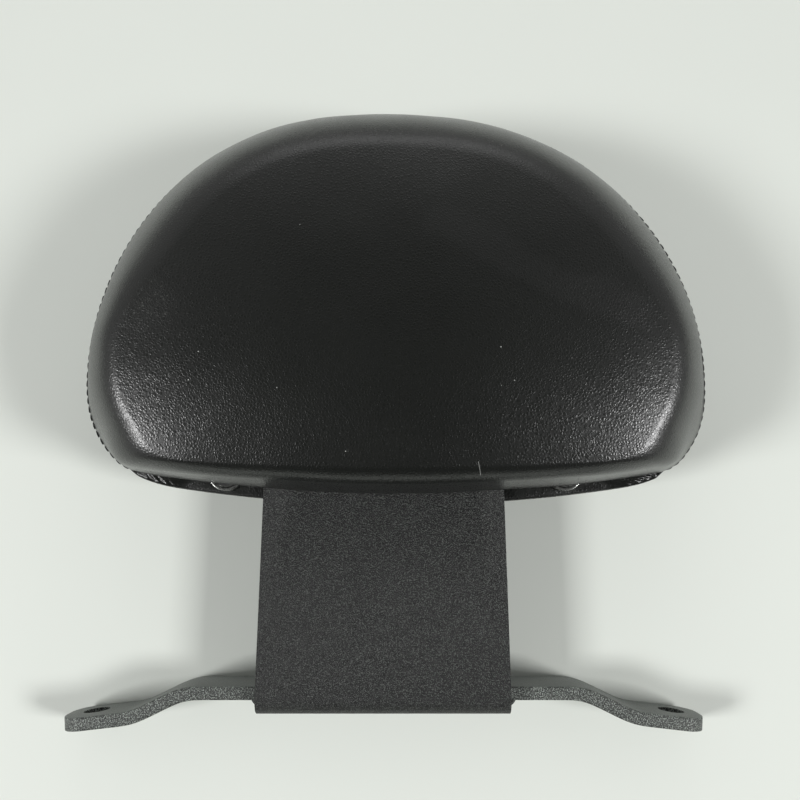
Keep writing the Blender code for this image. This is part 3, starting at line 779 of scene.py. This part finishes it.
def stitch_runs(row):
    """Length along a ring in stitch pitches, from its first point."""
    total, runs = 0.0, []
    for before, point in zip([row[0]] + row[:-1], row):
        total += (point - before).length
        runs.append(total / STITCH_PITCH)
    return runs


def thicken(piece, thickness):
    """Give a sheet its wall, on the inside."""
    wall = piece.modifiers.new("leather", "SOLIDIFY")
    wall.thickness = thickness
    wall.offset = -1
    wall.use_quality_normals = True
    apply_modifiers(piece)


def front_cover(pad):
    """The leather of the face, the sides and the underside."""
    angles = pad_angles()
    bm = skin(pad, angles, front_rows(pad, angles), FRONT_TURN_STEPS + 1, face_crown, -1)
    for vert in bm.verts:
        shift = wander(vert.co, 24.0, 3.0) + 0.4 * wander(vert.co, 70.0, 9.0)
        vert.co += vert.normal * shift * pad.unevenness
    piece = link("pad_front_leather", bm)
    thicken(piece, pad.leather)
    soften(piece, SMOOTH_ANGLE)
    dress(piece, leather_finish("face_leather", marked=True), "leather", "front_cover")


# Rear cover


BACK_ROLL = 7.0 * MM  # width of the roll from the side wall into the back
BACK_INSET = 0.4 * MM  # how far the back lies inside its CAD box
FOAM_SHARES = (0.97, 0.92, 0.96)  # size of the shown foam against the CAD piece


def lip_share(angle):
    """0 where the seam is sewn, 1 where the back ends in the lip."""
    return smooth(MOUTH_START, MOUTH_START + 0.06, -math.sin(angle))


def lip_depth(pad, angle):
    """Front of the rear cover: at the seam, or behind the plate where the lip hangs."""
    return mix(FIT - pad.seam, FACING_BEHIND - PLATE_FRONT + FIT, smooth(0.55, 0.80, -math.sin(angle)))


def back_rows(pad, angles):
    """Rings from the seam or the lip, over the side wall, to the middle of the back."""
    back = BACK_BEHIND - PLATE_FRONT - BACK_INSET
    rows = []
    for step in range(-1, BACK_TURN_STEPS + BACK_RINGS):
        row = []
        for angle in angles:
            edge = lip_depth(pad, angle)
            if step < BACK_TURN_STEPS:
                bend = math.pi / 2 * max(0, step) / BACK_TURN_STEPS
                inset = pad.turn * (1 - math.sin(bend)) if step >= 0 else TUCK
                y = edge + pad.turn * (1 - math.cos(bend))
            else:
                start = edge + pad.turn
                handles = [(0.0, mix(start, back, 0.75)), (0.06 * BACK_ROLL, back)]
                curve = [(0.0, start), *handles, (BACK_ROLL, back)]
                inset, y = bezier(curve, (step - BACK_TURN_STEPS) / (BACK_RINGS - 1))
            x, z = seam_point(pad, angle, inset, lip_share(angle))
            row.append(Vector((x, y, z)))
        rows.append(row)
    return rows + crown_rows(pad, rows[-1])


def foam_core():
    """A copy of the foam that is a little smaller, so that the leather clears it everywhere."""
    low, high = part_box("foam_core")
    middle = (low + high) / 2
    piece = merged_copy("foam_core", "pad_foam")
    bpy.ops.transform.resize(value=FOAM_SHARES, center_override=(middle.x, high.y, middle.z))
    bpy.ops.object.mode_set(mode="OBJECT")
    dress(piece, foam_finish(), "foam", "foam_core")


def rear_cover(pad):
    """The leather of the back and of the lip behind the plate."""
    angles = pad_angles()
    bm = skin(pad, angles, back_rows(pad, angles), BACK_TURN_STEPS + 1, back_crown, 1)
    piece = link("pad_rear_leather", bm)
    thicken(piece, pad.leather)
    soften(piece, SMOOTH_ANGLE)
    dress(piece, leather_finish("back_leather"), "leather", "rear_cover")


# Facing on the front of the lip


FACING_HEIGHT = 20.0 * MM
FACING_WALL = 1.1 * MM
FACING_START = 0.60  # as minus the angle's sine, like the mouth
# The edge that is turned under, as rise and depth in mm
FACING_EDGE = [(1.6, 1.2), (0.8, 1.15), (0.25, 0.95), (0.0, 0.55), (0.2, 0.15), (0.7, 0.0)]
FACING_RISES = 22
FOLD_HEIGHT = 0.5 * MM
FOLD_RUN_OUT = 3.0 * MM
LEFT_GATHER, RIGHT_GATHER = (-109.0 * MM, -95.0 * MM), (102.0 * MM, 123.0 * MM)


def gathers(x, z, corner):
    """Height of the folds where the lip is drawn together at the ends of the mouth."""
    if x < 0:
        phase = (0.82 * x + 0.57 * z) / (2.6 * MM)
    else:
        phase = (0.28 * x + 0.96 * z) / (1.9 * MM)
    low, high = LEFT_GATHER if x < 0 else RIGHT_GATHER
    near = smooth(low, low + FOLD_RUN_OUT, x) * (1 - smooth(high - FOLD_RUN_OUT, high, x))
    return FOLD_HEIGHT * near * corner * (0.5 + 0.5 * math.cos(2 * math.pi * phase))


def lip_facing(pad):
    """The strip of leather that lines the lip, with its lower edge turned under."""
    bm = bmesh.new()
    table = []
    for angle in pad_angles():
        low = -math.sin(angle)
        if low < FACING_START:
            continue
        corner = 1 - smooth(0.74, 0.88, low)
        x, z = seam_point(pad, angle, 0.25 * MM, lip_share(angle))
        height = mix(FACING_HEIGHT, hem_line(pad, x, 0.0) - z + 3.0 * MM, corner)
        ahead = hem_depth(pad, angle) + 0.2 * MM
        foot = max(lip_depth(pad, angle) - 1.5 * MM, ahead)
        top = mix(foot, ahead + 0.4 * MM, corner)
        section = [(rise * MM, foot + depth * MM) for rise, depth in FACING_EDGE]
        for step in range(1, FACING_RISES + 1):
            part = step / FACING_RISES
            rise = mix(FACING_EDGE[-1][0] * MM, height, part)
            fold = gathers(x, z + rise, corner) * smooth(0.0, 1.5 * MM, rise)
            wave = 0.3 * MM * wander(Vector((x, 0.0, z + rise)), 80.0, 5.0) * (1 - corner)
            section.append((rise, mix(foot, top, smooth(0.0, 1.0, part)) - fold + wave))
        table.append([bm.verts.new((x, PLATE_FRONT + y, z + rise)) for rise, y in section])
    for row, after in zip(table, table[1:]):
        for place in range(len(row) - 1):
            bm.faces.new((row[place], after[place], after[place + 1], row[place + 1]))
    face_towards(bm, -1)
    piece = link("lip_front_leather", bm)
    thicken(piece, FACING_WALL)
    soften(piece, SMOOTH_ANGLE)
    dress(piece, leather_finish("lip_leather"), "leather", "lip_facing")


# Stitching


THREAD_RADIUS = 0.42 * MM
STITCH_LENGTH = 3.3 * MM
STITCH_SLANT = math.radians(5)
SEAM_STEPS = 2400  # points at which the seam's line is measured


def stitching(pad):
    """One stitch modelled once and copied along the seam."""
    clear_selection()
    bpy.ops.mesh.primitive_uv_sphere_add(segments=8, ring_count=6, radius=THREAD_RADIUS)
    pattern = bpy.context.object
    bpy.ops.object.mode_set(mode="EDIT")
    bpy.ops.mesh.select_all(action="SELECT")
    bpy.ops.transform.resize(value=(1.0, 1.0, STITCH_LENGTH / (2 * THREAD_RADIUS)))
    bpy.ops.object.mode_set(mode="OBJECT")
    pattern.name = "seam_stitches"
    line = []
    for step in range(SEAM_STEPS + 1):
        angle = math.radians(-45) + 2 * math.pi * step / SEAM_STEPS
        if -math.sin(angle) < MOUTH_START + 0.02:
            x, z = seam_point(pad, angle, 0.12 * MM)
            line.append(Vector((x, PLATE_FRONT - pad.seam - 1.3 * pad.turn, z)))
    copies = []
    reach = STITCH_PITCH / 2
    walked = 0.0
    for before, point in zip(line, line[1:]):
        walked += (point - before).length
        if walked >= reach:
            copies.append((point, (point - before).normalized()))
            reach += STITCH_PITCH
    made = []
    for number, (point, direction) in enumerate(copies):
        copy = bpy.data.objects.new("stitch_%d" % number, pattern.data.copy())
        bpy.context.scene.collection.objects.link(copy)
        slant = Matrix.Rotation(STITCH_SLANT, 4, "X")
        turn = direction.to_track_quat("Z", "Y").to_matrix().to_4x4() @ slant
        copy.matrix_world = Matrix.Translation(point) @ turn
        made.append(copy)
    bpy.data.objects.remove(pattern)
    clear_selection()
    for copy in made:
        copy.select_set(True)
    bpy.context.view_layer.objects.active = made[0]
    bpy.ops.object.join()
    piece = bpy.context.object
    piece.name = "seam_stitches"
    settle(piece)
    soften(piece, SMOOTH_ANGLE)
    dress(piece, thread_finish(), "leather")


# Metal


COAT_ANGLE = 35
PLATE_EDGE = 0.6 * MM


def bracket_plate(finish):
    """A copy of the bent plate with its edges rounded."""
    piece = merged_copy("bracket_plate", "bracket_plate_coated")
    bpy.ops.mesh.dissolve_limited(angle_limit=math.radians(1.0))
    bpy.ops.mesh.normals_make_consistent(inside=False)
    bpy.ops.object.mode_set(mode="OBJECT")
    round_edges(piece, PLATE_EDGE, 40, harden=True)
    soften(piece, COAT_ANGLE)
    dress(piece, finish, "powder_coat", "bracket_plate")


BAR_MIDDLE = (BAR_LOW.y + BAR_HIGH.y) / 2
BAR_WIDTH = BAR_HIGH.y - BAR_LOW.y
BAR_HALF = (BAR_HIGH.x - BAR_LOW.x) / 2
BAR_THICKNESS = 6.0 * MM
BAR_EDGE = 0.8 * MM
BAR_STEP, TIP_STEP = 1.5 * MM, 0.5 * MM  # distances between the rings, the second near the tips
TIP_REACH = 14.0 * MM
TIP_RADIUS = 10.0 * MM
BOLT_PLACE = 130.0 * MM
BOLT_HOLE = 11.5 * MM
FOOT_TILT = math.radians(6.3)
BEND_REACH = 9.0 * MM  # how far either side of a bend the bar is eased
BEND_SAMPLES = 17
# Points of the underside, as distance from the middle and height
JOGGLE = [(BAR_HALF, -1.32 * MM), (109.3 * MM, 2.285 * MM), (87.7 * MM, 12.685 * MM), (0.0, 12.685 * MM)]


def joggle_height(x):
    """Height of the underside at a distance from the bar's middle, with sharp bends."""
    if x <= 0.0:
        return JOGGLE[-1][1]
    (x1, z1), (x2, z2) = next(pair for pair in zip(JOGGLE, JOGGLE[1:]) if x >= pair[1][0])
    return mix(z2, z1, (x - x2) / (x1 - x2))


def eased_height(x):
    """The same with eased bends: a mean over the reach of a bend that counts the near points more."""
    height, weight = 0.0, 0.0
    for step in range(BEND_SAMPLES):
        shift = (step / (BEND_SAMPLES - 1) * 2 - 1) * BEND_REACH
        part = 1 - abs(shift) / BEND_REACH + 0.02
        height += part * joggle_height(x + shift)
        weight += part
    return height / weight


def bar_ring(x):
    """Points round the bar's section at x, narrower towards the rounded tip."""
    away = max(0.0, abs(x) - (BAR_HALF - TIP_RADIUS))
    half = BAR_WIDTH / 2 - TIP_RADIUS + math.sqrt(max(0.0, TIP_RADIUS ** 2 - away ** 2))
    near = 0.2 * MM
    ahead = (eased_height(abs(x) + near) - eased_height(abs(x) - near)) / (2 * near)
    slope = ahead if x > 0 else -ahead
    upward = Vector((-slope, 0.0, 1.0)).normalized()
    base = Vector((x, BAR_MIDDLE, eased_height(abs(x))))
    low, high = BAR_EDGE, BAR_THICKNESS - BAR_EDGE
    points = []
    for side, level, turn in ((-1, low, 180), (1, low, 270), (1, high, 0), (-1, high, 90)):
        for step in range(4):
            angle = math.radians(turn + 30 * step)
            y = side * (half - BAR_EDGE) + BAR_EDGE * math.cos(angle)
            rise = level + BAR_EDGE * math.sin(angle)
            points.append(base + Vector((0.0, y, 0.0)) + upward * rise)
    return points


def mounting_bar(finish):
    """The flat bar lofted over its joggles, with rounded tips, rounded edges and two bolt holes."""
    places = []
    x = -BAR_HALF
    while x < BAR_HALF:
        places.append(x)
        x += TIP_STEP if BAR_HALF - abs(x) < TIP_REACH else BAR_STEP
    places.append(BAR_HALF)
    bm = bmesh.new()
    rows = [[bm.verts.new(point) for point in bar_ring(x)] for x in places]
    for row, after in zip(rows, rows[1:]):
        count = len(row)
        for index in range(count):
            bm.faces.new((row[index], row[(index + 1) % count], after[(index + 1) % count], after[index]))
    bm.faces.new(rows[0][::-1])
    bm.faces.new(rows[-1])
    bmesh.ops.recalc_face_normals(bm, faces=bm.faces)
    piece = link("mounting_bar_coated", bm)
    for side in (-1, 1):
        clear_selection()
        bpy.ops.mesh.primitive_cylinder_add(
            vertices=72, radius=BOLT_HOLE / 2, depth=4 * BAR_THICKNESS,
            location=(side * BOLT_PLACE, BAR_MIDDLE, BAR_THICKNESS / 2),
            rotation=(0.0, side * FOOT_TILT, 0.0),
        )
        drill = bpy.context.object
        settle(drill)
        cut = piece.modifiers.new("hole", "BOOLEAN")
        cut.operation = "DIFFERENCE"
        cut.solver = "EXACT"
        cut.object = drill
        apply_modifiers(piece)
        bpy.data.objects.remove(drill)
    soften(piece, COAT_ANGLE)
    dress(piece, finish, "powder_coat", "mounting_bar")


SOCKET_STEPS = 64
SOCKET_EDGE = 0.22 * MM
# Steps from the rim to the middle, as depth in mm and width as a share of the radius
SOCKET_RINGS = [(0.0, 0.16), (0.45, 0.05), (0.0, 0.34), (-0.3, 0.05), (0.0, 0.18), (0.6, 0.02)]


def socket(name, finish):
    """A pressed ring on the lip: a rolled rim round a sunk middle."""
    low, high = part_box(name)
    radius = (high.x - low.x) / 2
    clear_selection()
    bpy.ops.mesh.primitive_cylinder_add(
        vertices=SOCKET_STEPS, radius=radius, depth=high.y - low.y,
        location=(low + high) / 2, rotation=(math.radians(90), 0.0, 0.0),
    )
    piece = bpy.context.object
    piece.name = name + "_turned"
    settle(piece)
    bm = bmesh.new()
    bm.from_mesh(piece.data)
    front = min(bm.faces, key=lambda face: face.calc_center_median().y)
    for depth, width in SOCKET_RINGS:
        bmesh.ops.inset_region(bm, faces=[front], thickness=width * radius, depth=0.0)
        bmesh.ops.translate(bm, verts=front.verts, vec=(0.0, depth * MM, 0.0))
    bm.to_mesh(piece.data)
    bm.free()
    round_edges(piece, SOCKET_EDGE, 30, harden=False)
    soften(piece, 40)
    dress(piece, finish, "snap_metal", name)


# Stage


LAMP_REACH = 1100.0 * MM
LAMP_TARGET = (0.0, 0.0, 160.0 * MM)
SIDE_LAMP_SIZE, SIDE_LAMP_LEVEL = 380.0 * MM, -250.0 * MM
TOP_LAMP_PLACE = (0.0, -350.0 * MM, 750.0 * MM)
DARK_WAY = Vector((0.0, -1.0, -0.3)).normalized()  # towards the unlit room behind the camera
LOW_WAY = Vector((0.0, -0.35, -1.0)).normalized()  # towards the dim floor
SEEN_ROOM = 0.72  # brightness of what lies beyond the paper, where the camera sees it
PAPER_SIZE = 6.0
PAPER_GAP = 0.6 * MM
CAMERA_REACH = 361.0 * MM
CAMERA_SIDE = 7.3 * MM
CAMERA_LEVEL = 81.4 * MM
CAMERA_TILT = math.radians(10)


def backdrop():
    """Pale paper behind the part, seen only from the front."""
    clear_selection()
    place = (0.0, BAR_HIGH.y + PAPER_GAP, 0.2)
    bpy.ops.mesh.primitive_plane_add(size=PAPER_SIZE, location=place, rotation=(math.radians(90), 0.0, 0.0))
    sheet = bpy.context.object
    sheet.name = "paper"
    settle(sheet)
    paint = Paint("pale_paper")
    mottle = paint.noise(5.0, 3.0, 0.6)
    tone = bpy.context.scene.backrest_finish.paper
    paint.finish(colour=paint.blend(mottle, tint(tone, 0.98), tint(tone, 1.02)), rough=0.9)
    glossy = paint.node("LightPath", output="Is Glossy Ray")
    seen = paint.node("LightPath", output="Is Camera Ray").most(glossy)
    back = paint.node("NewGeometry", output="Backfacing")
    clear = paint.node("BsdfTransparent")
    body = Wire(paint, paint.shader.outputs[0])
    cover = paint.node("MixShader", {}, [seen * (1 - back), clear, body])
    paint.tree.links.new(cover.socket, paint.tree.nodes["Material Output"].inputs["Surface"])
    sheet.data.materials.append(paint.material)


def lamp(name, place, width, height, power):
    """A soft box that looks at the middle of the part."""
    data = bpy.data.lights.new(name, "AREA")
    data.shape = "RECTANGLE"
    data.size = width
    data.size_y = height
    data.energy = power
    made = bpy.data.objects.new(name, data)
    bpy.context.scene.collection.objects.link(made)
    made.location = place
    made.rotation_euler = (Vector(LAMP_TARGET) - Vector(place)).to_track_quat("-Z", "Y").to_euler()


def surroundings(light):
    """A pale ring round a darker zenith, which lies behind the camera, and a dim floor."""
    sky = Sky("studio")
    bpy.context.scene.world = sky.world
    levels = {"From Min": 0.89, "From Max": 0.48, "To Min": light.zenith, "To Max": light.ring}
    ring = sky.node("MapRange", {}, {"Value": sky.towards(DARK_WAY), **levels})
    levels = {"From Min": 0.60, "From Max": 0.92, "To Min": 1.0, "To Max": 0.25}
    settings = {"interpolation_type": "SMOOTHSTEP"}
    floor = sky.node("MapRange", settings, {"Value": sky.towards(LOW_WAY), **levels})
    seen = sky.node("LightPath", output="Is Camera Ray")
    strength = sky.node("Mix", {}, {0: seen, 2: ring * floor, 3: SEEN_ROOM})
    sky.shine(strength)


def camera(light):
    """The camera that sees the part as the photograph does."""
    data = bpy.data.cameras.new("camera")
    data.sensor_width = 36.0
    data.lens = light.lens
    made = bpy.data.objects.new("camera", data)
    bpy.context.scene.collection.objects.link(made)
    made.location = (CAMERA_SIDE, PLATE_FRONT - CAMERA_REACH, CAMERA_LEVEL)
    made.rotation_euler = (math.radians(90) + CAMERA_TILT, 0.0, 0.0)
    bpy.context.scene.camera = made


def stage(light):
    """Paper, lamps, surroundings and camera."""
    backdrop()
    for name, side in (("lamp_left", -1), ("lamp_right", 1)):
        place = (side * LAMP_REACH, -LAMP_REACH, SIDE_LAMP_LEVEL)
        lamp(name, place, SIDE_LAMP_SIZE, SIDE_LAMP_SIZE, light.side_power)
    lamp("lamp_top", TOP_LAMP_PLACE, 0.5, 0.2, light.top_power)
    surroundings(light)
    camera(light)
    bpy.context.scene.view_settings.view_transform = "Standard"


# Operators


class BACKREST_OT_front_cover(bpy.types.Operator):
    """Build the leather of the pad's face, sides and underside, and the foam inside"""

    bl_idname = "backrest.front_cover"
    bl_label = "Front cover"

    def execute(self, context):
        front_cover(context.scene.backrest_pad)
        foam_core()
        return {"FINISHED"}


class BACKREST_OT_rear_cover(bpy.types.Operator):
    """Build the leather of the pad's back, down to its lip"""

    bl_idname = "backrest.rear_cover"
    bl_label = "Rear cover"

    def execute(self, context):
        rear_cover(context.scene.backrest_pad)
        return {"FINISHED"}


class BACKREST_OT_lip_facing(bpy.types.Operator):
    """Line the front of the rear lip"""

    bl_idname = "backrest.lip_facing"
    bl_label = "Lip facing"

    def execute(self, context):
        lip_facing(context.scene.backrest_pad)
        return {"FINISHED"}


class BACKREST_OT_stitching(bpy.types.Operator):
    """Sew the two covers together"""

    bl_idname = "backrest.stitching"
    bl_label = "Stitching"

    def execute(self, context):
        stitching(context.scene.backrest_pad)
        return {"FINISHED"}


class BACKREST_OT_bracket(bpy.types.Operator):
    """Round the plate's edges, loft the bar again and coat them and the welds"""

    bl_idname = "backrest.bracket"
    bl_label = "Bracket"

    def execute(self, context):
        # Both coats carry painted highlights, painted shade and a painted reflection on faces that look up.
        coat = coat_finish("powder_coat", painted_reflection_lift=1.0, depth=0.5 * MM, peaks=21.0)
        bracket_plate(coat)
        # The bar's coat is painted 22 times paler than its own black, as a painted reflection of the paper
        # and of the light from above.
        mounting_bar(coat_finish("bar_coat_painted_reflection", painted_reflection_lift=22.0, depth=0.25 * MM, peaks=4.4))
        for side in ("left", "right"):
            recoat(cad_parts["weld_" + side], coat)
        return {"FINISHED"}


class BACKREST_OT_press_studs(bpy.types.Operator):
    """Turn the two sockets on the lip"""

    bl_idname = "backrest.press_studs"
    bl_label = "Press studs"

    def execute(self, context):
        finish = plain_metal("dark_nickel", (0.42, 0.43, 0.41), 0.28)
        for side in ("left", "right"):
            socket("snap_socket_" + side, finish)
        return {"FINISHED"}


class BACKREST_OT_metal_parts(bpy.types.Operator):
    """Finish the fasteners and the boards, before the other pieces replace their nodes"""

    bl_idname = "backrest.metal_parts"
    bl_label = "Metal parts"

    def execute(self, context):
        zinc = plain_metal("zinc_plate", (0.55, 0.55, 0.52), 0.35)
        dark = plain_metal("dark_steel", (0.13, 0.13, 0.13), 0.35)
        board = board_finish()
        for name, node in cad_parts.items():
            if name.startswith("snap"):
                finish = dark
            elif name.endswith("board"):
                finish = board
            else:
                finish = zinc
            recoat(node, finish)
        return {"FINISHED"}


class BACKREST_OT_stage(bpy.types.Operator):
    """Set up the paper, the lamps, the surroundings and the camera"""

    bl_idname = "backrest.stage"
    bl_label = "Stage"

    def execute(self, context):
        stage(context.scene.backrest_light)
        return {"FINISHED"}


OPERATORS = (
    BACKREST_OT_stage,
    BACKREST_OT_metal_parts,
    BACKREST_OT_bracket,
    BACKREST_OT_press_studs,
    BACKREST_OT_front_cover,
    BACKREST_OT_rear_cover,
    BACKREST_OT_lip_facing,
    BACKREST_OT_stitching,
)


class BACKREST_PT_panel(bpy.types.Panel):
    """Lists the steps in the order in which they are run"""

    bl_label = "Seat backrest"
    bl_space_type = "VIEW_3D"
    bl_region_type = "UI"
    bl_category = "Backrest"

    def draw(self, context):
        for operator in OPERATORS:
            self.layout.operator(operator.bl_idname)


GROUPS = {"backrest_pad": BackrestPad, "backrest_finish": BackrestFinish, "backrest_light": BackrestLight}
CLASSES = (*GROUPS.values(), *OPERATORS, BACKREST_PT_panel)


def register():
    for item in CLASSES:
        bpy.utils.register_class(item)
    for name, group in GROUPS.items():
        setattr(bpy.types.Scene, name, PointerProperty(type=group))


def unregister():
    for name in GROUPS:
        delattr(bpy.types.Scene, name)
    for item in reversed(CLASSES):
        bpy.utils.unregister_class(item)


def main():
    register()
    for operator in OPERATORS:
        group, name = operator.bl_idname.split(".")
        getattr(getattr(bpy.ops, group), name)()


if __name__ == "__main__":
    main()
